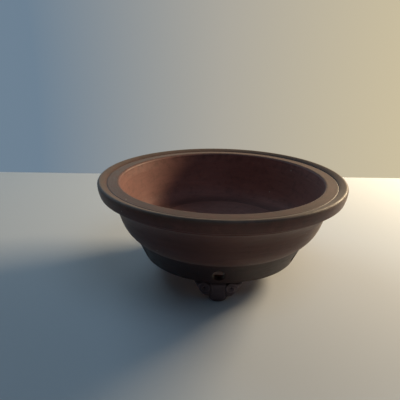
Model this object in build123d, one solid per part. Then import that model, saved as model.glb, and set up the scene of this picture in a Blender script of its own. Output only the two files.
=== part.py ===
from build123d import *
import os

# A round, unglazed stoneware bonsai pot: a wide rim with a raised roll, a bowl that narrows
# through a cove and a belly, a tapering foot ring pierced by tie holes, and three cloud feet.
# It is built the way a potter lutes it together: each piece is formed on its own and then
# stuck with slip to its neighbour, so the pieces meet face to face and none of them moves.
# Millimetres. +Z is up, the origin is on the table below the drain hole, and one foot faces -Y.

# Overall size
POT_HEIGHT = 82.0
RIM_RADIUS = 100.0

# Levels above the table
FOOT_TOP = 18.2
FLOOR_UNDERSIDE = 31.0
FLOOR_THICKNESS = 6.5
RING_TOP = 35.2
THREAD_BOTTOM = 70.3
RIM_SEAT = 72.0
GROOVE_BOTTOM = 80.1
LEDGE_CREST = 80.3

# Rim: a flat ledge inside, a raised roll outside, and a shallow groove between them
LEDGE_INNER_RADIUS = 82.6
LEDGE_CREST_RADIUS = 84.6
LEDGE_LIP_DROP = 1.9
LEDGE_LIP_MIDDLE = (83.3, 79.8)
GROOVE_RADIUS = 92.7
ROLL_SLOPE_TOP = (97.0, 81.83)
ROLL_CREST_RADIUS = 98.0
ROLL_LOWER_RADIUS = 98.8
ROLL_LOWER_HEIGHT = 73.3
ROLL_UNDERSIDE_RADIUS = 97.4
ROLL_UNDERSIDE_BULGE = 0.4
THREAD_SHOULDER_RADIUS = 95.5

# Bowl
WALL_TOP_INNER_RADIUS = 81.2
WALL_TOP_OUTER_RADIUS = 95.0
COVE_POINT = (85.6, 58.0)
WAIST_POINT = (82.8, 49.5)
BELLY_POINT = (77.2, 40.2)
WALL_FOOT_RADIUS = 71.4
WALL_BASE_RADIUS = 66.0
INNER_WALL_UPPER = (79.0, 61.0)
INNER_WALL_LOWER = (74.6, 47.0)
OUTER_WALL_SLOPES = ((-1.0, -0.72), (-1.0, -0.86))
INNER_WALL_SLOPES = ((1.0, 0.0), (0.2, 1.0))
FLOOR_RADIUS = 58.0
DRAIN_RADIUS = 10.0

# Foot ring
RING_TOP_RADIUS = 72.4
RING_BOTTOM_RADIUS = 64.8
RING_INNER_BOTTOM_RADIUS = 59.6
RING_EDGE_ROUND = 0.5
TIE_HOLE_COUNT = 6
TIE_HOLE_RADIUS = 4.6
TIE_HOLE_HEIGHT = 26.2

# Cloud feet
FOOT_COUNT = 3
FOOT_OUTER_TOP_RADIUS = 62.4
FOOT_OUTER_TOE_RADIUS = 60.8
FOOT_INNER_TOP_RADIUS = 52.6
FOOT_INNER_TOE_RADIUS = 54.2
FOOT_HALF_WIDTH = 18.8
FOOT_SIDE_MIDDLE = (16.1, 12.6)
FOOT_LOBE_SIDE = (12.4, 7.0)
FOOT_LOBE_CORNER = (11.0, 5.4)
FOOT_LOBE_BOTTOM = (8.6, 4.4)
FOOT_NOTCH = (6.7, 4.0)
FOOT_TOE_HALF_WIDTH = 1.9
FOOT_TOE_ROUND = 1.6


def turned(outline):
    """Revolve a closed outline of radius and height about the pot's axis."""
    return revolve(Plane.XZ * make_face(outline), Axis.Z)


def rim_ledge():
    """Flat ring that forms the top of the rim, with a rounded inner lip."""
    crest = (LEDGE_CREST_RADIUS, LEDGE_CREST)
    lip = (LEDGE_INNER_RADIUS, LEDGE_CREST - LEDGE_LIP_DROP)
    outline = [
        Line((WALL_TOP_INNER_RADIUS, RIM_SEAT), (GROOVE_RADIUS, RIM_SEAT)),
        Line((GROOVE_RADIUS, RIM_SEAT), (GROOVE_RADIUS, GROOVE_BOTTOM)),
        Line((GROOVE_RADIUS, GROOVE_BOTTOM), crest),
        ThreePointArc(crest, LEDGE_LIP_MIDDLE, lip),
        Line(lip, (WALL_TOP_INNER_RADIUS, RIM_SEAT)),
    ]
    return turned(outline)


def rim_roll():
    """Raised roll round the outside of the rim, with the rim's upright side below it."""
    seat = (GROOVE_RADIUS, RIM_SEAT)
    groove = (GROOVE_RADIUS, GROOVE_BOTTOM)
    crest = (ROLL_CREST_RADIUS, POT_HEIGHT)
    widest = (RIM_RADIUS, POT_HEIGHT - (RIM_RADIUS - ROLL_CREST_RADIUS))
    lower = (ROLL_LOWER_RADIUS, ROLL_LOWER_HEIGHT)
    corner = (ROLL_LOWER_RADIUS - ROLL_UNDERSIDE_BULGE, RIM_SEAT + ROLL_UNDERSIDE_BULGE)
    underside = (ROLL_UNDERSIDE_RADIUS, RIM_SEAT)
    outline = [
        Line(seat, groove),
        Line(groove, ROLL_SLOPE_TOP),
        TangentArc(crest, ROLL_SLOPE_TOP, tangent=(-1, 0)),
        TangentArc(crest, widest, tangent=(1, 0)),
        TangentArc(widest, lower, tangent=(0, -1)),
        ThreePointArc(lower, corner, underside),
        Line(underside, seat),
    ]
    return turned(outline)


def rim_thread():
    """Thin half-round thread in the corner below the rim."""
    top = (WALL_TOP_OUTER_RADIUS, RIM_SEAT)
    shoulder = (THREAD_SHOULDER_RADIUS, RIM_SEAT)
    bottom = (WALL_TOP_OUTER_RADIUS, THREAD_BOTTOM)
    return turned([Line(top, shoulder), TangentArc(shoulder, bottom, tangent=(1, 0)), Line(bottom, top)])


def bowl_wall():
    """Side of the bowl: a cove below the rim, a waist and a belly that turns under."""
    floor_top = FLOOR_UNDERSIDE + FLOOR_THICKNESS
    outer_top = (WALL_TOP_OUTER_RADIUS, RIM_SEAT)
    outer_start = (WALL_TOP_OUTER_RADIUS, THREAD_BOTTOM)
    outer_end = (WALL_FOOT_RADIUS, RING_TOP)
    base_outer = (WALL_BASE_RADIUS, FLOOR_UNDERSIDE)
    base_inner = (FLOOR_RADIUS, FLOOR_UNDERSIDE)
    inner_bottom = (FLOOR_RADIUS, floor_top)
    inner_top = (WALL_TOP_INNER_RADIUS, RIM_SEAT)
    outer_points = (outer_start, COVE_POINT, WAIST_POINT, BELLY_POINT, outer_end)
    inner_points = (inner_bottom, INNER_WALL_LOWER, INNER_WALL_UPPER, inner_top)
    outline = [
        Line(outer_top, outer_start),
        Spline(*outer_points, tangents=OUTER_WALL_SLOPES),
        Line(outer_end, base_outer),
        Line(base_outer, base_inner),
        Line(base_inner, inner_bottom),
        Spline(*inner_points, tangents=INNER_WALL_SLOPES),
        Line(inner_top, outer_top),
    ]
    return turned(outline)


def bowl_floor():
    """Round floor slab with the drain hole through its middle."""
    slab = Pos(0, 0, FLOOR_UNDERSIDE) * Cylinder(
        FLOOR_RADIUS, FLOOR_THICKNESS, align=(Align.CENTER, Align.CENTER, Align.MIN)
    )
    drain = Pos(0, 0, FLOOR_UNDERSIDE) * Cylinder(
        DRAIN_RADIUS, 4 * FLOOR_THICKNESS, align=(Align.CENTER, Align.CENTER, Align.CENTER)
    )
    return slab - drain


def foot_ring():
    """Tapering ring below the belly, a little proud of it, pierced by level tie holes."""
    outline = [
        Line((RING_INNER_BOTTOM_RADIUS, FOOT_TOP), (RING_BOTTOM_RADIUS, FOOT_TOP)),
        Line((RING_BOTTOM_RADIUS, FOOT_TOP), (RING_TOP_RADIUS, RING_TOP)),
        Line((RING_TOP_RADIUS, RING_TOP), (WALL_FOOT_RADIUS, RING_TOP)),
        Line((WALL_FOOT_RADIUS, RING_TOP), (WALL_BASE_RADIUS, FLOOR_UNDERSIDE)),
        Line((WALL_BASE_RADIUS, FLOOR_UNDERSIDE), (RING_INNER_BOTTOM_RADIUS, FOOT_TOP)),
    ]
    section = make_face(outline)
    outer_corners = [
        corner
        for corner in section.vertices()
        if corner.X == RING_BOTTOM_RADIUS or corner.X == RING_TOP_RADIUS
    ]
    ring = revolve(Plane.XZ * fillet(outer_corners, RING_EDGE_ROUND), Axis.Z)
    drill = Rot(90, 0, 0) * Cylinder(
        TIE_HOLE_RADIUS, RIM_RADIUS, align=(Align.CENTER, Align.CENTER, Align.MIN)
    )
    for index in range(TIE_HOLE_COUNT):
        ring -= Rot(0, 0, index * 360 / TIE_HOLE_COUNT) * Pos(0, 0, TIE_HOLE_HEIGHT) * drill
    return ring


def foot_outline():
    """Front view of a cloud foot: sides that lean in, two lobes, and a narrow rounded toe."""
    top = (FOOT_HALF_WIDTH, FOOT_TOP)
    toe = (FOOT_TOE_HALF_WIDTH, 0.0)
    right = [
        ThreePointArc(top, FOOT_SIDE_MIDDLE, FOOT_LOBE_SIDE),
        ThreePointArc(FOOT_LOBE_SIDE, FOOT_LOBE_CORNER, FOOT_LOBE_BOTTOM),
        Line(FOOT_LOBE_BOTTOM, FOOT_NOTCH),
        TangentArc(toe, FOOT_NOTCH, tangent=(1, 0)),
    ]
    left = [mirror(curve, Plane.YZ) for curve in right]
    across = [Line((-FOOT_TOE_HALF_WIDTH, 0.0), toe), Line(top, (-FOOT_HALF_WIDTH, FOOT_TOP))]
    return make_face(right + left + across)


def cloud_foot():
    """One cloud foot facing -Y, curved to follow the foot ring above it."""
    toe_inner = (FOOT_INNER_TOE_RADIUS, 0.0)
    toe_outer = (FOOT_OUTER_TOE_RADIUS - FOOT_TOE_ROUND, 0.0)
    toe_front = (FOOT_OUTER_TOE_RADIUS, FOOT_TOE_ROUND)
    top_outer = (FOOT_OUTER_TOP_RADIUS, FOOT_TOP)
    top_inner = (FOOT_INNER_TOP_RADIUS, FOOT_TOP)
    shell = turned([
        Line(toe_inner, toe_outer),
        TangentArc(toe_outer, toe_front, tangent=(1, 0)),
        Line(toe_front, top_outer),
        Line(top_outer, top_inner),
        Line(top_inner, toe_inner),
    ])
    blank = extrude(Plane.XZ * foot_outline(), RIM_RADIUS)
    return blank & shell


def main():
    nodes = {
        "rim_ledge": rim_ledge(),
        "rim_roll": rim_roll(),
        "rim_thread": rim_thread(),
        "bowl_wall": bowl_wall(),
        "bowl_floor": bowl_floor(),
        "foot_ring": foot_ring(),
    }
    foot = cloud_foot()
    for index, name in enumerate(("foot_front", "foot_rear_right", "foot_rear_left")):
        nodes[name] = Rot(0, 0, index * 360 / FOOT_COUNT) * foot
    os.makedirs("parts", exist_ok=True)
    for name, shape in nodes.items():
        export_step(shape, f"parts/{name}.step")


main()
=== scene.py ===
import math
import bmesh
import bpy
import numpy as np
from mathutils import Matrix, Vector


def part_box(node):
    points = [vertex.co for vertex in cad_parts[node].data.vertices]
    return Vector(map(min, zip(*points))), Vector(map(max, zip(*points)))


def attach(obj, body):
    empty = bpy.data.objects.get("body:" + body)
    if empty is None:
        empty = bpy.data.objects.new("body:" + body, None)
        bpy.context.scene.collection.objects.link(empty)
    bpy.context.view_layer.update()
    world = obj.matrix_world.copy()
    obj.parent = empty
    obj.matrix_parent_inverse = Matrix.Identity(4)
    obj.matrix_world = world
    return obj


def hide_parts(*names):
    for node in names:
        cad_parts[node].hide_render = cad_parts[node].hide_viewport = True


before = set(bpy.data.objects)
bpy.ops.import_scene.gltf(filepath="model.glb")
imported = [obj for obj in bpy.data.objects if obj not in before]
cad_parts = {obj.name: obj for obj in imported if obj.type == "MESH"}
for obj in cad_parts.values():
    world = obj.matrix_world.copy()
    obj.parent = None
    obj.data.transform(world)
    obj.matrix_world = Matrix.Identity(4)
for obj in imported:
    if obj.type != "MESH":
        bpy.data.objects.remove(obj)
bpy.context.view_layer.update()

# An unglazed stoneware bonsai pot, in metres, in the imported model's frame: +Z up, the front foot
# towards -Y, the toes at height zero. Every clay piece stands for the CAD node of the same name.
# Outlines are written in millimetres as (radius, height), and turned about the pot's axis.

MM = 0.001
TAU = 2.0 * math.pi
SEGMENTS = 384                      # steps round the axis on a turned piece
HOLES = 6                           # tie holes in the foot ring
FEET = ("foot_front", "foot_rear_right", "foot_rear_left")


# ---------------------------------------------------------------- sizes read from the frame

def span(node):
    """Lowest height, highest height and outer radius of a node centred on the axis, in mm."""
    low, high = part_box(node)
    return low[2] / MM, high[2] / MM, high[0] / MM


RIM_SEAT, POT_TOP, RIM_RADIUS = span("rim_roll")
_, LEDGE_TOP, GROOVE_RADIUS = span("rim_ledge")
THREAD_BOTTOM, _, _ = span("rim_thread")
_, _, WALL_TOP_RADIUS = span("bowl_wall")
FLOOR_UNDER, FLOOR_TOP, FLOOR_RADIUS = span("bowl_floor")
FOOT_TOP, RING_TOP, RING_RADIUS = span("foot_ring")
FOOT_HALF_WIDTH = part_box("foot_front")[1][0] / MM

GROOVE_BOTTOM = LEDGE_TOP - 0.45
LEDGE_CREST_RADIUS = 84.9           # highest circle of the ledge, just outside its lip
LEDGE_LIP = (82.7, LEDGE_TOP - 2.2)
LEDGE_FOOT_RADIUS = 81.2            # where the ledge meets the inside of the wall
ROLL_ROUND = 2.0                    # radius of the roll's outer top edge
WALL_FOOT_RADIUS = RING_RADIUS - 0.8
WALL_BASE_RADIUS = FLOOR_RADIUS + 8.0
DRAIN_RADIUS = 10.0
DRAIN_ROUND = 1.2
QUARTER = math.tan(math.pi / 8)     # bulge of a quarter circle


# ---------------------------------------------------------------- outlines

def straight(start, end, steps):
    """Evenly spaced points from start to end."""
    return [tuple(p) for p in np.linspace(start, end, steps + 1)]


def arc(start, end, bulge, steps):
    """Points on a circle from start to end, its sag bulge times the half chord, to the left."""
    a, b = np.array(start, float), np.array(end, float)
    chord = b - a
    half = np.linalg.norm(chord) / 2.0
    left = np.array([-chord[1], chord[0]]) / (2.0 * half)
    sag = bulge * half
    radius = (half * half + sag * sag) / (2.0 * abs(sag))
    centre = (a + b) / 2.0 + left * (sag - math.copysign(radius, sag))
    first = math.atan2(a[1] - centre[1], a[0] - centre[0])
    last = math.atan2(b[1] - centre[1], b[0] - centre[0])
    turn = (last - first + math.pi) % TAU - math.pi
    angles = first + turn * np.linspace(0.0, 1.0, steps + 1)
    return [tuple(centre + radius * np.array([math.cos(t), math.sin(t)])) for t in angles]


def smooth(points, steps):
    """A centripetal Catmull-Rom curve through the points, with steps per span."""
    p = [np.array(q, float) for q in points]
    p = [2 * p[0] - p[1]] + p + [2 * p[-1] - p[-2]]
    out = []
    for i in range(1, len(p) - 2):
        gaps = [math.sqrt(np.linalg.norm(p[i + k] - p[i + k - 1])) for k in range(3)]
        step = p[i + 1] - p[i]
        before = (p[i] - p[i - 1]) / gaps[0] - (p[i + 1] - p[i - 1]) / (gaps[0] + gaps[1])
        after = (p[i + 2] - p[i + 1]) / gaps[2] - (p[i + 2] - p[i]) / (gaps[1] + gaps[2])
        leave, arrive = step + gaps[1] * before, step + gaps[1] * after
        for t in np.linspace(0.0, 1.0, steps, endpoint=False):
            h = (2 * t**3 - 3 * t**2 + 1, t**3 - 2 * t**2 + t, -2 * t**3 + 3 * t**2, t**3 - t**2)
            out.append(tuple(h[0] * p[i] + h[1] * leave + h[2] * p[i + 1] + h[3] * arrive))
    return out + [tuple(p[-2])]


def run(points, wear_and_painted_light=0.0):
    """(radius, height, wear and painted light) along one stretch: the value swells from nothing at its
    ends. Above 0 it is partly real wear and partly a painted highlight, below 0 painted shade.
    """
    swell = np.sin(np.linspace(0.0, math.pi, len(points)))
    return [(r, z, wear_and_painted_light * s) for (r, z), s in zip(points, swell)]


def joined(*runs):
    """One closed outline from runs of points, without doubled points."""
    out = []
    for stretch in runs:
        for point in stretch:
            if not out or math.dist(point[:2], out[-1][:2]) > 1e-4:
                out.append(point)
    if math.dist(out[0][:2], out[-1][:2]) < 1e-4:
        out.pop()
    return out


# ---------------------------------------------------------------- hand-made unevenness

def wobble(angle, height):
    """How far a hand-turned surface stands out of true, in mm: slow waves round the pot."""
    slow = 0.10 * np.sin(2 * angle + 0.7) + 0.06 * np.sin(3 * angle + 2.1 + 0.022 * height)
    quick = 0.02 * np.sin(7 * angle + 0.09 * height) + 0.012 * np.sin(11 * angle - 0.14 * height)
    return slow + quick - 0.2


# ---------------------------------------------------------------- mesh helpers

def make_object(name, verts, faces, wear_and_painted_light, sharp_degrees):
    """A closed clay mesh from points in mm. wear_and_painted_light is above 0 on rubbed edges, partly
    real wear and partly a painted highlight, and below 0 in creases, where it paints shade.
    """
    mesh = bpy.data.meshes.new(name)
    mesh.from_pydata([tuple(float(c) * MM for c in v) for v in verts], [], faces)
    layer = mesh.attributes.new("wear_and_painted_light", "FLOAT", "POINT")
    layer.data.foreach_set("value", np.array(wear_and_painted_light, dtype=np.float32))
    bm = bmesh.new()
    bm.from_mesh(mesh)
    bmesh.ops.remove_doubles(bm, verts=bm.verts, dist=1e-7)
    bmesh.ops.recalc_face_normals(bm, faces=bm.faces)
    bm.to_mesh(mesh)
    bm.free()
    for polygon in mesh.polygons:
        polygon.use_smooth = True
    mesh.set_sharp_from_angle(angle=math.radians(sharp_degrees))
    obj = bpy.data.objects.new(name, mesh)
    bpy.context.scene.collection.objects.link(obj)
    return obj


def around(radius, angle, height):
    """A point at a true radius, with the unevenness added."""
    r = radius + wobble(angle, height)
    return r * math.cos(angle), r * math.sin(angle), height


def lathe(name, outline):
    """A closed turned solid from an outline of (radius, height, wear and painted light)."""
    verts, wear_and_painted_light = [], []
    for i in range(SEGMENTS):
        for r, z, worn_and_painted_light in outline:
            verts.append(around(r, TAU * i / SEGMENTS, z))
            wear_and_painted_light.append(worn_and_painted_light)
    n = len(outline)
    faces = []
    for i in range(SEGMENTS):
        j = (i + 1) % SEGMENTS
        for k in range(n):
            m = (k + 1) % n
            faces.append((i * n + k, j * n + k, j * n + m, i * n + m))
    return make_object(name, verts, faces, wear_and_painted_light, 32)


# ---------------------------------------------------------------- turned pieces

def rim_ledge():
    """Flat inner part of the rim: its inner lip painted paler, partly real wear and partly a painted
    highlight, and a dip into the groove, where shade is painted.
    """
    groove = (GROOVE_RADIUS, GROOVE_BOTTOM)
    shoulder = (GROOVE_RADIUS - 1.0, LEDGE_TOP - 0.22)
    crest = (LEDGE_CREST_RADIUS, LEDGE_TOP)
    foot = (LEDGE_FOOT_RADIUS, RIM_SEAT)
    seat = (GROOVE_RADIUS, RIM_SEAT)
    return joined(
        run(arc(groove, shoulder, -0.2, 5), -0.5),
        run(straight(shoulder, crest, 16)),
        run(arc(crest, LEDGE_LIP, -0.38, 12), 0.35),
        run(straight(LEDGE_LIP, foot, 10)),
        run(straight(foot, seat, 4)),
        run(straight(seat, groove, 6)),
    )


def rim_roll():
    """Raised roll round the edge, and the rim's upright side down to its underside."""
    groove = (GROOVE_RADIUS, GROOVE_BOTTOM)
    slope_foot = (GROOVE_RADIUS + 0.7, GROOVE_BOTTOM + 0.5)
    slope_top = (RIM_RADIUS - 3.0, POT_TOP - 0.17)
    crest = (RIM_RADIUS - ROLL_ROUND, POT_TOP)
    widest = (RIM_RADIUS, POT_TOP - ROLL_ROUND)
    lower = (RIM_RADIUS - 1.2, RIM_SEAT + 1.3)
    under = (RIM_RADIUS - 2.6, RIM_SEAT)
    # Shade is painted into the groove; the roll's top outer edge and the lower edge of its side are
    # painted pale, partly wear and partly highlight.
    return joined(
        run(straight(groove, slope_foot, 3), -0.5),
        run(arc(slope_foot, slope_top, 0.03, 12)),
        run(arc(slope_top, crest, 0.084, 5)),
        run(arc(crest, widest, QUARTER, 16), 0.4),
        run(arc(widest, lower, 0.08, 12)),
        run(arc(lower, under, QUARTER, 8), 0.3),
        run(straight(under, (GROOVE_RADIUS, RIM_SEAT), 6)),
        run(straight((GROOVE_RADIUS, RIM_SEAT), groove, 6)),
    )


def rim_thread():
    """Half-round thread in the corner under the rim, its round face painted pale: a painted highlight
    for the bright line under the rim.
    """
    top = (WALL_TOP_RADIUS, RIM_SEAT)
    shoulder = (WALL_TOP_RADIUS + 0.5, RIM_SEAT)
    bottom = (WALL_TOP_RADIUS, THREAD_BOTTOM)
    return joined(
        run(straight(top, shoulder, 2)),
        run(arc(shoulder, bottom, 1.0, 14), 0.6),
        run(straight(bottom, top, 3)),
    )


def bowl_wall():
    """Side of the bowl: cove, waist and belly outside, one even curve inside."""
    start = (WALL_TOP_RADIUS, THREAD_BOTTOM)
    end = (WALL_FOOT_RADIUS, RING_TOP)
    outside = smooth([start, (91.6, 67.3), (88.4, 63.4), (86.1, 59.2), (84.5, 54.6), (83.0, 50.0),
                      (81.1, 45.7), (78.2, 41.3), (75.0, 38.1), end], 8)
    inside = smooth([(FLOOR_RADIUS, FLOOR_TOP), (62.2, 37.9), (67.4, 39.5), (71.9, 42.9),
                     (74.8, 47.6), (76.8, 53.2), (78.5, 59.5), (79.9, 65.8),
                     (LEDGE_FOOT_RADIUS, RIM_SEAT)], 9)
    base_out, base_in = (WALL_BASE_RADIUS, FLOOR_UNDER), (FLOOR_RADIUS, FLOOR_UNDER)
    return joined(
        run(straight((WALL_TOP_RADIUS, RIM_SEAT), start, 3)),
        run(outside),
        run(straight(end, base_out, 4)),
        run(straight(base_out, base_in, 6)),
        run(straight(base_in, (FLOOR_RADIUS, FLOOR_TOP), 4)),
        run(inside),
        run(straight((LEDGE_FOOT_RADIUS, RIM_SEAT), (WALL_TOP_RADIUS, RIM_SEAT), 6)),
    )


def bowl_floor():
    """Floor slab with faint throwing rings on top and a rounded drain hole."""
    edge_top, edge_base = (FLOOR_RADIUS, FLOOR_TOP), (FLOOR_RADIUS, FLOOR_UNDER)
    mouth_radius = DRAIN_RADIUS + DRAIN_ROUND
    radii = np.linspace(FLOOR_RADIUS, mouth_radius, 150)
    fade = np.sin(np.linspace(0.0, math.pi, len(radii))) ** 0.5
    rings = FLOOR_TOP - fade * (0.10 + 0.09 * np.sin(radii * 1.9) + 0.04 * np.sin(radii * 0.63 + 1.0))
    hole_top = (DRAIN_RADIUS, FLOOR_TOP - DRAIN_ROUND)
    hole_base = (DRAIN_RADIUS, FLOOR_UNDER + DRAIN_ROUND)
    return joined(
        run(straight(edge_base, edge_top, 4)),
        run(list(zip(radii, rings))),
        run(arc((mouth_radius, FLOOR_TOP), hole_top, -QUARTER, 8), 0.6),
        run(straight(hole_top, hole_base, 6)),
        run(arc(hole_base, (mouth_radius, FLOOR_UNDER), -QUARTER, 8), 0.4),
        run(straight((mouth_radius, FLOOR_UNDER), edge_base, 40)),
    )


# ---------------------------------------------------------------- foot ring with its tie holes

RING_FACE_LOW = (FOOT_TOP + 0.9, 65.2)      # height and radius where the outer face starts
RING_FACE_HIGH = (RING_TOP + 0.7, 72.58)
RING_FADE = (72.83, RING_TOP + 1.15)        # where the slip over the joint runs out on the belly
RING_BASE_RADIUS = 64.2                     # outer edge of the flat base
RING_BACK_LOW = (FOOT_TOP, 59.6)
RING_BACK_HIGH = (FLOOR_UNDER, WALL_BASE_RADIUS)
PATCH = 16                                  # grid steps on each side of the square round a hole
HOLE_RADIUS = 4.6
HOLE_HEIGHT = 26.2
HOLE_ROUND = 0.5                            # how far the mouth is rounded, above and at the sides
HOLE_SILL = (1.0, 2.4)                      # how far it is worn away below: down, and inwards


def on_line(low, high, height):
    """Radius at a height on a conical face given by two (height, radius) points."""
    return low[1] + (high[1] - low[1]) * (height - low[0]) / (high[0] - low[0])


def ring_outline():
    """The ring's section, with its outer and inner faces in PATCH steps each."""
    outer_low, outer_high = RING_FACE_LOW[::-1], RING_FACE_HIGH[::-1]
    inner_low, inner_high = RING_BACK_LOW[::-1], RING_BACK_HIGH[::-1]
    return (
        run(straight(outer_low, outer_high, PATCH)),
        joined(
            run(arc(outer_high, RING_FADE, -0.05, 4)),
            run(straight(RING_FADE, inner_high, 6)),
        ),
        run(straight(inner_high, inner_low, PATCH)),
        joined(
            run(straight(inner_low, (RING_BASE_RADIUS, FOOT_TOP), 5)),
            # The base's outer arris is painted pale, partly wear and partly a painted highlight for the
            # bright line along the ring's lower edge.
            run(arc((RING_BASE_RADIUS, FOOT_TOP), outer_low, -0.40, 6), 0.8),
        ),
    )


class Ring:
    """Collects the foot ring's points and faces; doubled points are merged when it is made."""

    def __init__(self):
        self.verts, self.faces, self.wear_and_painted_light = [], [], []

    def grid(self, rows):
        """Quads between rows of (point, wear)."""
        first = len(self.verts)
        width = len(rows[0])
        for row in rows:
            for point, worn_and_painted_light in row:
                self.verts.append(point)
                self.wear_and_painted_light.append(worn_and_painted_light)
        for i in range(len(rows) - 1):
            for k in range(width - 1):
                a = first + i * width + k
                self.faces.append((a, a + 1, a + 1 + width, a + width))


def column(angle, stretch):
    return [(around(r, angle, z), worn_and_painted_light) for r, z, worn_and_painted_light in stretch]


def square_border(low, high, half_angle):
    """(angle, height) points round the square that surrounds a hole, anticlockwise and closed."""
    heights = np.linspace(low[0], high[0], PATCH + 1)
    angles = np.linspace(-half_angle, half_angle, PATCH + 1)
    border = [(a, heights[0]) for a in angles]
    border += [(half_angle, z) for z in heights[1:]]
    border += [(a, heights[-1]) for a in angles[-2::-1]]
    border += [(-half_angle, z) for z in heights[-2::-1]]
    return border


def hole_point(centre, face, sideways, height, depth):
    """A point of the hole's wall: on the conical face, then depth mm towards the axis."""
    radius = on_line(*face, height)
    angle = centre + math.asin(sideways / radius)
    x, y, z = around(radius, angle, height)
    return x - depth * math.cos(centre), y - depth * math.sin(centre), z


def tie_hole(ring, centre, index, half_angle):
    """The square of both faces round one hole, the hole's rounded mouth, and its wall."""
    outer, inner = (RING_FACE_LOW, RING_FACE_HIGH), (RING_BACK_LOW, RING_BACK_HIGH)
    shift = 0.25 * math.sin(2.4 * index + 1.0)
    outer_border = square_border(*outer, half_angle)
    inner_border = square_border(*inner, half_angle)
    mean_radius = on_line(*outer, HOLE_HEIGHT)
    rays = []
    for (angle, height), (back_angle, back_height) in zip(outer_border, inner_border):
        way = math.atan2(height - HOLE_HEIGHT, angle * mean_radius - shift)
        uneven = 1.0 + 0.025 * math.sin(2 * way + index) + 0.012 * math.sin(5 * way + 2 * index)
        sill = max(0.0, -math.sin(way)) ** 2
        lip_width = HOLE_ROUND + (HOLE_SILL[0] - HOLE_ROUND) * sill
        lip_depth = HOLE_ROUND + (HOLE_SILL[1] - HOLE_ROUND) * sill
        # The mouth is painted pale: partly wear round its edge, and on the sill below a painted
        # highlight for the light the sill catches.
        mouth_rub_and_sill_light = 0.35 + 0.55 * sill
        ray = []
        for t in np.linspace(0.0, 1.0, 8):
            wide = (HOLE_RADIUS + lip_width) * uneven
            z = (1 - t) * height + t * (HOLE_HEIGHT + wide * math.sin(way))
            side = math.asin((shift + wide * math.cos(way)) / on_line(*outer, z))
            a = (1 - t) * angle + t * side
            ray.append((around(on_line(*outer, z), centre + a, z), mouth_rub_and_sill_light * max(0.0, t - 0.8) / 0.2))
        for step in range(1, 6):
            alpha = step / 5 * math.pi / 2
            wide = (HOLE_RADIUS + lip_width * (1 - math.sin(alpha))) * uneven
            z = HOLE_HEIGHT + wide * math.sin(way)
            side = shift + wide * math.cos(way)
            worn_and_painted_light = mouth_rub_and_sill_light * math.cos(alpha)
            ray.append((hole_point(centre, outer, side, z, lip_depth * (1 - math.cos(alpha))), worn_and_painted_light))
        wide = HOLE_RADIUS * uneven * (0.985 if math.sin(way) > 0 else 1.0)
        z, side = HOLE_HEIGHT + wide * math.sin(way), shift + wide * math.cos(way)
        mouth = np.array(hole_point(centre, outer, side, z, lip_depth))
        back = np.array(hole_point(centre, inner, side, z, 0.0))
        for t in np.linspace(0.0, 1.0, 7)[1:]:
            ray.append((tuple(mouth + t * (back - mouth)), 0.0))
        for t in np.linspace(0.0, 1.0, 7)[1:]:
            z_back = (1 - t) * z + t * back_height
            side_angle = math.asin(side / on_line(*inner, z))
            a = (1 - t) * side_angle + t * back_angle
            ray.append((around(on_line(*inner, z_back), centre + a, z_back), 0.0))
        rays.append(ray)
    ring.grid(rays)


def foot_ring():
    """Tapering ring: plain columns between the holes, and a worked square round each hole."""
    ring = Ring()
    outer, top, inner, base = ring_outline()
    columns = SEGMENTS // HOLES
    half = PATCH // 2
    step = TAU / SEGMENTS
    for index in range(HOLES):
        centre = -math.pi / 2 + index * TAU / HOLES
        everywhere = [centre + k * step for k in range(-half, columns - half + 1)]
        plain = everywhere[PATCH:]
        join_top = [outer[-1]] + top + [inner[0]]
        join_base = [inner[-1]] + base + [outer[0]]
        ring.grid([column(a, join_top) for a in everywhere])
        ring.grid([column(a, join_base) for a in everywhere])
        ring.grid([column(a, outer) for a in plain])
        ring.grid([column(a, inner) for a in plain])
        tie_hole(ring, centre, index, half * step)
    return make_object("clay_foot_ring", ring.verts, ring.faces, ring.wear_and_painted_light, 40)


# ---------------------------------------------------------------- cloud feet

FOOT_COLUMNS = 128                          # steps across the front face
BACK_COLUMNS = 32
FOOT_FRONT_RADIUS = (60.8, 62.4)            # at the toe and at the top
FOOT_BACK_RADIUS = (54.2, 52.6)
FRONT_ROUND = 1.5
BACK_ROUND = 0.9


def foot_side():
    """Right edge of a foot seen from the front, from the toe up, as (half width, height)."""
    toe, notch = (1.9, 0.0), (6.7, 4.0)
    lobe_bottom, lobe_side = (8.6, 4.4), (12.4, 7.0)
    return (arc(toe, notch, -0.362, 26) + arc(notch, lobe_bottom, 0.25, 8)[1:]
            + arc(lobe_bottom, lobe_side, -0.30, 22)[1:]
            + arc(lobe_side, (FOOT_HALF_WIDTH, FOOT_TOP), -0.09, 44)[1:])


def spiral(centre, start, turn, first, last, steps):
    """A scroll: angle runs from start by turn, and the radius from first to last."""
    t = np.linspace(0.0, 1.0, steps)
    angle, radius = start + turn * t, first + (last - first) * t
    return np.stack([centre[0] + radius * np.cos(angle), centre[1] + radius * np.sin(angle)], 1)


def distance_to(line, points):
    """Distance of each point from a line given as closely spaced points."""
    gap = np.full(len(points), 1e9)
    for a, b in zip(line[:-1], line[1:]):
        way = b - a
        t = np.clip(((points - a) @ way) / max(way @ way, 1e-12), 0.0, 1.0)
        gap = np.minimum(gap, np.linalg.norm(points - a - t[:, None] * way, axis=1))
    return gap


SCROLL_EYE = (9.9, 12.1)                    # across and height
SCROLL_POCKET = (7.3, 16.4)                 # hollow between the scroll and the ring


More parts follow.
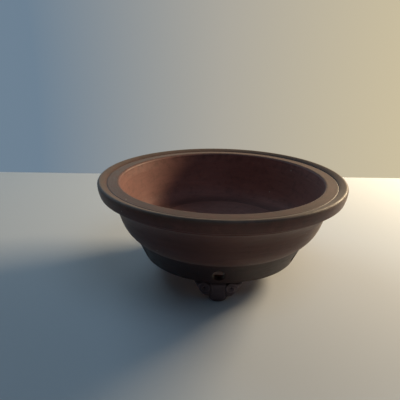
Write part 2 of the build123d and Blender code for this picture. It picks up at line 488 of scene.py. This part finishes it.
def cloud_relief(points):
    """Height of the moulded pattern at (across, height) points, and its wear and painted light:
    two scrolls with drilled eyes, a raised border along the lobes and a plain tongue down to the
    toe. Ridges are painted pale, partly wear and partly highlight; shade is painted into the
    groove, the eyes, the pocket and the band under the ring."""
    mirrored = np.stack([np.abs(points[:, 0]), points[:, 1]], 1)
    tongue_edge = np.array(smooth([(0.0, 1.5), (3.3, 2.2), (4.9, 4.6), (4.7, 8.2), (4.3, 12.0),
                                   (4.9, 15.4), (6.6, 18.6)], 10))
    tongue_groove = np.array(smooth([(6.9, 4.2), (6.1, 6.8), (5.8, 10.2), (5.7, 13.4),
                                     (7.0, 16.6)], 10))
    scroll = spiral(SCROLL_EYE, -0.75, 8.2, 5.1, 1.75, 90)
    border = np.array(smooth([(7.6, 5.9), (9.7, 6.1), (11.6, 7.5), tuple(scroll[0])], 8))
    ridge = np.exp(-(distance_to(np.concatenate([border, scroll]), mirrored) / 0.50) ** 2)
    rim = np.exp(-(distance_to(tongue_edge, mirrored) / 0.55) ** 2)
    groove = np.exp(-(distance_to(tongue_groove, mirrored) / 0.60) ** 2)
    eye = np.exp(-(np.linalg.norm(mirrored - np.array(SCROLL_EYE), axis=1) / 0.85) ** 4)
    pocket = np.exp(-(np.linalg.norm(mirrored - np.array(SCROLL_POCKET), axis=1) / 1.5) ** 2)
    crown = np.clip(1.0 - (mirrored[:, 0] / 5.0) ** 2, 0.0, 1.0)
    # eaves: the band just under the ring, recessed and painted in shade.
    eaves = np.clip((mirrored[:, 1] - FOOT_TOP + 3.0) / 1.2, 0.0, 1.0)
    raised = np.maximum(0.75 * ridge, 0.40 * rim) + 0.25 * crown
    sunk = 0.40 * groove + 1.1 * eye + 0.8 * pocket + 1.0 * eaves
    # Painted shade in the groove, the eyes, the pocket and under the ring.
    painted_crease_shade = 0.6 * groove + 1.6 * eye + 1.2 * pocket + 1.0 * eaves
    return raised - sunk, np.clip(np.maximum(ridge, 0.6 * rim) - painted_crease_shade, -1.0, 1.0)


def rounding(radius, inset):
    """How far a rounded edge of this radius stands back, at a distance inset from the edge."""
    return radius - np.sqrt(radius**2 - np.clip(radius - inset, 0.0, radius) ** 2)


def foot_row(half_width, height, side):
    """One level ring of points round a foot facing -Y, from the front's left edge, in mm."""
    lift = height / FOOT_TOP
    front_radius = FOOT_FRONT_RADIUS[0] + (FOOT_FRONT_RADIUS[1] - FOOT_FRONT_RADIUS[0]) * lift
    back_radius = FOOT_BACK_RADIUS[0] + (FOOT_BACK_RADIUS[1] - FOOT_BACK_RADIUS[0]) * lift
    across = half_width * np.linspace(-1.0, 1.0, FOOT_COLUMNS + 1)
    points = np.stack([across, np.full(len(across), height)], 1)
    inset = np.minimum(distance_to(side, points), distance_to(side * [-1, 1], points))
    inset = np.minimum(inset, height)
    sunk = rounding(FRONT_ROUND, inset)
    relief, worn_and_painted_light = cloud_relief(points)
    fade = np.clip((inset - 0.2) / 0.9, 0.0, 1.0)
    belly = 0.7 * math.sin(math.pi * min(1.0, lift)) * (1.0 - (across / (half_width + 4.0)) ** 2)
    radius = front_radius - sunk + relief * fade + belly
    front = [(u, -math.sqrt(r * r - u * u), height) for u, r in zip(across, radius)]
    # The foot's outline edges are painted pale, partly wear and partly highlight.
    wear_and_painted_light = list(worn_and_painted_light * fade + 0.35 * (inset < 0.5))
    back_across = half_width * np.linspace(1.0, -1.0, BACK_COLUMNS + 1)
    back_inset = np.minimum(half_width - np.abs(back_across), height)
    back_sunk = rounding(BACK_ROUND, back_inset)
    back = [(u, -math.sqrt((back_radius + s) ** 2 - u * u), height)
            for u, s in zip(back_across, back_sunk)]
    right = [tuple(p) for p in np.linspace(front[-1], back[0], 8)[1:-1]]
    left = [tuple(p) for p in np.linspace(back[-1], front[0], 8)[1:-1]]
    return front + right + back + left, wear_and_painted_light + [0.0] * (len(right) + len(back) + len(left))


def foot_shape():
    """Points, wear and painted light, and faces of a moulded foot facing -Y, from the toe up."""
    side = np.array(foot_side())
    verts, wear_and_painted_light = [], []
    for half_width, height in side:
        row, worn_and_painted_light = foot_row(half_width, height, side)
        verts += row
        wear_and_painted_light += worn_and_painted_light
    count = len(verts) // len(side)
    faces = [(i * count + k, i * count + (k + 1) % count,
              (i + 1) * count + (k + 1) % count, (i + 1) * count + k)
             for i in range(len(side) - 1) for k in range(count)]
    faces += [tuple(range(count)), tuple((len(side) - 1) * count + k for k in range(count))]
    return verts, faces, wear_and_painted_light


def turned(verts, angle):
    """The points turned about the pot's axis."""
    c, s = math.cos(angle), math.sin(angle)
    return [(c * x - s * y, s * x + c * y, z) for x, y, z in verts]


# ---------------------------------------------------------------- clay materials

class Nodes:
    """Short ways to add and link shader nodes."""

    def __init__(self, tree):
        self.tree = tree

    def add(self, kind, links=None, **settings):
        node = self.tree.nodes.new(kind)
        for key, value in settings.items():
            if key.startswith("in_"):
                node.inputs[int(key[3:])].default_value = value
            else:
                setattr(node, key, value)
        for socket, source in (links or {}).items():
            self.tree.links.new(source, node.inputs[socket])
        return node

    def math(self, operation, a, b):
        node = self.add("ShaderNodeMath", operation=operation)
        for i, value in enumerate((a, b)):
            if isinstance(value, (int, float)):
                node.inputs[i].default_value = value
            else:
                self.tree.links.new(value, node.inputs[i])
        return node.outputs[0]

    def spread(self, value, low, high, to_low, to_high):
        return self.add("ShaderNodeMapRange", {0: value}, in_1=low, in_2=high, in_3=to_low,
                        in_4=to_high).outputs[0]

    def blend(self, factor, a, b):
        """Mix of two colours, each a socket or an (r, g, b)."""
        node = self.add("ShaderNodeMix", {0: factor}, data_type="RGBA")
        for index, value in ((6, a), (7, b)):
            if isinstance(value, tuple):
                node.inputs[index].default_value = (*value, 1.0)
            else:
                self.tree.links.new(value, node.inputs[index])
        return node.outputs[2]

    def shade(self, factor, colour, by):
        """The colour, made by times as bright where factor is 1."""
        level = self.spread(factor, 0.0, 1.0, 1.0, by)
        return self.add("ShaderNodeVectorMath", {0: colour, 1: level}, operation="MULTIPLY").outputs[0]


def clay(name, body, roughness, burnish=1.0, grain=1.0, near=(), inside=None, bloom=0.18):
    """Unglazed stoneware: burnish lines that run round the pot, fine grain, cloudy colour,
    rubbed edges that are partly real wear and partly a painted highlight, painted shade in
    creases and a few pale grits. body is its colour and that of its paler clouds. near lists
    the bodies it fades into: ("height" or "radius", from, to, body), in metres. inside is the
    body of faces turned towards the pot's axis, and bloom the strength of the fine dust that pales the
    clay at a glancing angle."""
    material = bpy.data.materials.new(name)
    material.use_nodes = True
    n = Nodes(material.node_tree)
    shader = material.node_tree.nodes["Principled BSDF"]
    place = n.add("ShaderNodeTexCoord").outputs["Object"]
    parts = n.add("ShaderNodeSeparateXYZ", {0: place}).outputs
    flat = n.add("ShaderNodeVectorMath", {0: place}, operation="MULTIPLY", in_1=(1, 1, 0)).outputs[0]
    radius = n.add("ShaderNodeVectorMath", {0: flat}, operation="LENGTH").outputs["Value"]
    unit = n.add("ShaderNodeVectorMath", {0: flat}, operation="NORMALIZE").outputs[0]

    def lines(round_scale, fine_scale, detail):
        """Noise drawn out round the pot: cells fine_scale per metre thick in height and radius."""
        wide = n.add("ShaderNodeVectorMath", {0: unit}, operation="SCALE")
        wide.inputs["Scale"].default_value = round_scale
        rise = n.add("ShaderNodeCombineXYZ", {2: n.math("MULTIPLY", parts[2], fine_scale)}).outputs[0]
        vector = n.add("ShaderNodeVectorMath", {0: wide.outputs[0], 1: rise}, operation="ADD").outputs[0]
        noise = n.add("ShaderNodeTexNoise", {"Vector": vector}, noise_dimensions="4D")
        material.node_tree.links.new(n.math("MULTIPLY", radius, fine_scale), noise.inputs["W"])
        noise.inputs["Scale"].default_value = 1.0
        noise.inputs["Detail"].default_value = detail
        return noise.outputs["Fac"]

    def clouds(scale, detail, roughness_of_noise=0.5):
        noise = n.add("ShaderNodeTexNoise", {"Vector": place})
        noise.inputs["Scale"].default_value = scale
        noise.inputs["Detail"].default_value = detail
        noise.inputs["Roughness"].default_value = roughness_of_noise
        return noise.outputs["Fac"]

    broad, fine = lines(3.0, 260.0, 2.0), lines(9.0, 1100.0, 3.0)
    patches, mottle, sand = clouds(22.0, 3.0), clouds(170.0, 4.0, 0.62), clouds(1500.0, 2.0)
    worn_and_painted_light = n.add("ShaderNodeAttribute", attribute_name="wear_and_painted_light").outputs["Fac"]
    # Above 0 the attribute pales and smooths the clay: partly real wear, partly a painted highlight.
    # Below 0 it darkens it: painted shade in creases, grooves and under the ring.
    rubbed_and_highlit = n.spread(worn_and_painted_light, 0.15, 1.0, 0.0, 0.55)
    painted_crease_shade = n.spread(worn_and_painted_light, 0.0, -0.9, 0.0, 0.75)

    base, tint = body
    # Faces turned towards the axis take the inside colour, painted brighter and redder for the light
    # inside the bowl.
    if inside:
        face = n.add("ShaderNodeNewGeometry").outputs["Normal"]
        down = n.add("ShaderNodeVectorMath", {0: unit}, operation="SUBTRACT", in_1=(0, 0, 1))
        turned_out = n.add("ShaderNodeVectorMath", {0: face, 1: down.outputs[0]},
                           operation="DOT_PRODUCT").outputs["Value"]
        share = n.spread(turned_out, 0.0, -0.3, 0.0, 1.0)
        base, tint = n.blend(share, base, inside[0]), n.blend(share, tint, inside[1])
    for along, start, end, (near_base, near_tint) in near:
        share = n.spread({"height": parts[2], "radius": radius}[along], start, end, 0.0, 1.0)
        share = n.math("ADD", share, n.spread(mottle, 0.3, 0.7, -0.15, 0.15))
        share = n.add("ShaderNodeClamp", {0: share}).outputs[0]
        base, tint = n.blend(share, base, near_base), n.blend(share, tint, near_tint)
    colour = n.blend(n.spread(patches, 0.35, 0.68, 0.0, 0.75), base, tint)
    colour = n.shade(n.spread(mottle, 0.42, 0.72, 0.0, 0.5), colour, 1.35)
    colour = n.shade(n.spread(mottle, 0.46, 0.28, 0.0, 0.55), colour, 0.65)
    colour = n.shade(n.spread(broad, 0.40, 0.70, 0.0, 0.30 * burnish), colour, 1.5)
    colour = n.shade(n.spread(fine, 0.44, 0.30, 0.0, 0.40 * burnish), colour, 0.65)
    colour = n.shade(rubbed_and_highlit, colour, 1.9)
    colour = n.shade(painted_crease_shade, colour, 0.35)
    grit = n.add("ShaderNodeTexVoronoi", {"Vector": place})
    grit.inputs["Scale"].default_value = 230.0
    dice = n.add("ShaderNodeSeparateColor", {0: grit.outputs["Color"]}).outputs[0]
    chosen = n.math("GREATER_THAN", dice, 0.965)
    speck = n.math("MULTIPLY", chosen, n.spread(grit.outputs["Distance"], 0.16, 0.09, 0.0, 0.8))
    colour = n.blend(speck, colour, (0.42, 0.38, 0.33))
    material.node_tree.links.new(colour, shader.inputs["Base Color"])

    gloss = n.math("ADD", n.spread(fine, 0.3, 0.7, roughness + 0.07, roughness - 0.07),
                   n.spread(mottle, 0.3, 0.7, -0.05, 0.07))
    gloss = n.math("SUBTRACT", gloss, n.math("MULTIPLY", rubbed_and_highlit, 0.16))
    if inside:
        gloss = n.math("ADD", gloss, n.spread(turned_out, 0.0, -0.3, 0.0, 0.14))
    material.node_tree.links.new(gloss, shader.inputs["Roughness"])

    def bump(height, distance, strength, below=None):
        node = n.add("ShaderNodeBump", {"Height": height})
        node.inputs["Distance"].default_value = distance
        node.inputs["Strength"].default_value = strength
        if below is not None:
            material.node_tree.links.new(below, node.inputs["Normal"])
        return node.outputs[0]

    shader.inputs["Specular IOR Level"].default_value = 0.30
    shader.inputs["Sheen Weight"].default_value = bloom
    shader.inputs["Sheen Roughness"].default_value = 0.45
    shader.inputs["Sheen Tint"].default_value = (1.0, 0.94, 0.88, 1.0)
    normal = bump(broad, 0.00030, 0.25 * burnish)
    normal = bump(fine, 0.00012, 0.40 * burnish, normal)
    normal = bump(n.math("ADD", sand, n.math("MULTIPLY", mottle, 0.6)), 0.00010, 0.50 * grain, normal)
    material.node_tree.links.new(normal, shader.inputs["Normal"])
    return material


# One clay in five colours, each (base, paler cloud). The bowl's is the clay itself. The rim's is painted
# paler and tan for the light on its top, the inside's brighter and redder for the light inside the bowl,
# the ring's dark for the shade under the belly, and the feet's paler and bluer for cool light thrown up
# from the table.
RIM_BODY_PAINTED_LIT = ((0.121, 0.081, 0.063), (0.158, 0.107, 0.085))
BOWL_BODY = ((0.082, 0.030, 0.024), (0.110, 0.041, 0.033))
INSIDE_BODY_PAINTED_LIT = ((0.205, 0.090, 0.074), (0.265, 0.117, 0.096))
RING_BODY_PAINTED_SHADE = ((0.032, 0.018, 0.018), (0.045, 0.026, 0.025))
FOOT_BODY_PAINTED_COOL_LIGHT = ((0.100, 0.070, 0.080), (0.138, 0.098, 0.113))

# Down the rim's side its painted light fades into the bowl's own colour, and low on the belly the bowl
# fades into the ring's painted shade.
CLAY = {
    "rim_clay": clay("clay_rim", RIM_BODY_PAINTED_LIT, 0.52, near=[("height", 0.0815, 0.0795, BOWL_BODY),
                                                       ("radius", 0.0845, 0.0822, INSIDE_BODY_PAINTED_LIT)]),
    "bowl_clay": clay("clay_bowl", BOWL_BODY, 0.52, near=[("height", 0.0405, 0.0340, RING_BODY_PAINTED_SHADE)],
                      inside=INSIDE_BODY_PAINTED_LIT),
    "floor_clay": clay("clay_floor", INSIDE_BODY_PAINTED_LIT, 0.62, 0.6, 1.6),
    "ring_clay": clay("clay_ring", RING_BODY_PAINTED_SHADE, 0.42, near=[("height", 0.0340, 0.0405, BOWL_BODY)],
                      bloom=0.0),
    "foot_clay": clay("clay_foot", FOOT_BODY_PAINTED_COOL_LIGHT, 0.52, 0.15, 1.5),
}


# ---------------------------------------------------------------- the pot

def place_piece(piece, node, slot):
    """The piece rides the pot's one body, hides its CAD node and takes the record's finish."""
    piece.data.materials.append(CLAY[slot])
    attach(piece, "root")
    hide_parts(node)


for node, outline, slot in (
    ("rim_ledge", rim_ledge(), "rim_clay"),
    ("rim_roll", rim_roll(), "rim_clay"),
    ("rim_thread", rim_thread(), "bowl_clay"),
    ("bowl_wall", bowl_wall(), "bowl_clay"),
    ("bowl_floor", bowl_floor(), "floor_clay"),
):
    place_piece(lathe("clay_" + node, outline), node, slot)
place_piece(foot_ring(), "foot_ring", "ring_clay")
foot_verts, foot_faces, foot_wear_and_painted_light = foot_shape()
for index, node in enumerate(FEET):
    verts = turned(foot_verts, index * TAU / len(FEET))
    place_piece(make_object("clay_" + node, verts, foot_faces, foot_wear_and_painted_light, 50), node, "foot_clay")


# ---------------------------------------------------------------- table, lights, camera

def table(back_edge, turn_degrees):
    """A plain pale table top, whose straight back edge lies behind the pot."""
    mesh = bpy.data.meshes.new("table_top")
    bm = bmesh.new()
    bmesh.ops.create_grid(bm, x_segments=1, y_segments=1, size=1.0)
    bm.to_mesh(mesh)
    bm.free()
    obj = bpy.data.objects.new("table_top", mesh)
    obj.matrix_world = (Matrix.Rotation(math.radians(turn_degrees), 4, "Z")
                        @ Matrix.Translation((0.0, back_edge - 1.0, 0.0)))
    bpy.context.scene.collection.objects.link(obj)
    material = bpy.data.materials.new("table_pale")
    material.use_nodes = True
    shader = material.node_tree.nodes["Principled BSDF"]
    shader.inputs["Base Color"].default_value = (0.74, 0.79, 0.85, 1.0)
    shader.inputs["Roughness"].default_value = 0.75
    obj.data.materials.append(material)


def area_light(name, azimuth, elevation, distance, size, power, colour):
    """A rectangular light at a direction from the pot, in degrees from +X, facing the rim."""
    data = bpy.data.lights.new(name, "AREA")
    data.shape = "RECTANGLE"
    data.size, data.size_y = size
    data.energy = power
    data.color = colour
    light = bpy.data.objects.new(name, data)
    a, e = math.radians(azimuth), math.radians(elevation)
    way = Vector((math.cos(a) * math.cos(e), math.sin(a) * math.cos(e), math.sin(e)))
    light.location = Vector((0, 0, 0.06)) + way * distance
    light.rotation_euler = (-way).to_track_quat("-Z", "Y").to_euler()
    light.visible_camera = False
    bpy.context.scene.collection.objects.link(light)


def camera():
    """In front of the pot and a little above it, aimed at a point left of its axis."""
    distance, elevation, roll = 331.76 * MM, math.radians(16.096), math.radians(0.73)
    rim_height = POT_TOP * MM
    where = Vector((0.0, -distance * math.cos(elevation), rim_height + distance * math.sin(elevation)))
    aim = Vector((-17.5, 0.0, 58.94)) * MM
    data = bpy.data.cameras.new("camera")
    data.sensor_width = 36.0
    data.lens = 36.0
    cam = bpy.data.objects.new("camera", data)
    turn = (aim - where).to_track_quat("-Z", "Y").to_matrix().to_4x4()
    cam.matrix_world = Matrix.Translation(where) @ turn @ Matrix.Rotation(roll, 4, "Z")
    bpy.context.scene.collection.objects.link(cam)
    bpy.context.scene.camera = cam


def surroundings():
    """Soft room light: a cool back left, a warm back right, and dim above and in front."""
    world = bpy.data.worlds.new("studio")
    world.use_nodes = True
    n = Nodes(world.node_tree)
    way = n.add("ShaderNodeTexCoord").outputs["Generated"]
    x, y, z = n.add("ShaderNodeSeparateXYZ", {0: way}).outputs
    cool, middle, warm = (0.155, 0.220, 0.290), (0.41, 0.39, 0.34), (0.60, 0.52, 0.35)
    back = n.blend(n.spread(x, -0.42, 0.0, 0.0, 1.0), cool, middle)
    back = n.blend(n.spread(x, 0.0, 0.40, 0.0, 1.0), back, warm)
    dim = (0.004, 0.004, 0.005)
    room = n.blend(n.spread(y, -0.25, 0.45, 0.0, 1.0), dim, back)
    room = n.blend(n.spread(z, 0.30, 0.60, 0.0, 1.0), room, dim)
    background = world.node_tree.nodes["Background"]
    world.node_tree.links.new(room, background.inputs["Color"])
    background.inputs["Strength"].default_value = 1.0
    bpy.context.scene.world = world


table(0.278, 2.5)
area_light("window_warm", 37.5, 23.0, 0.80, (0.34, 0.10), 7.2, (1.0, 0.79, 0.52))
area_light("sky_back_left", 135.0, 40.0, 0.90, (0.50, 0.50), 1.25, (0.60, 0.84, 1.0))
area_light("sky_front", -50.0, 62.0, 0.80, (0.50, 0.50), 0.8, (0.52, 0.76, 1.0))
surroundings()
camera()
bpy.context.scene.view_settings.view_transform = "Standard"
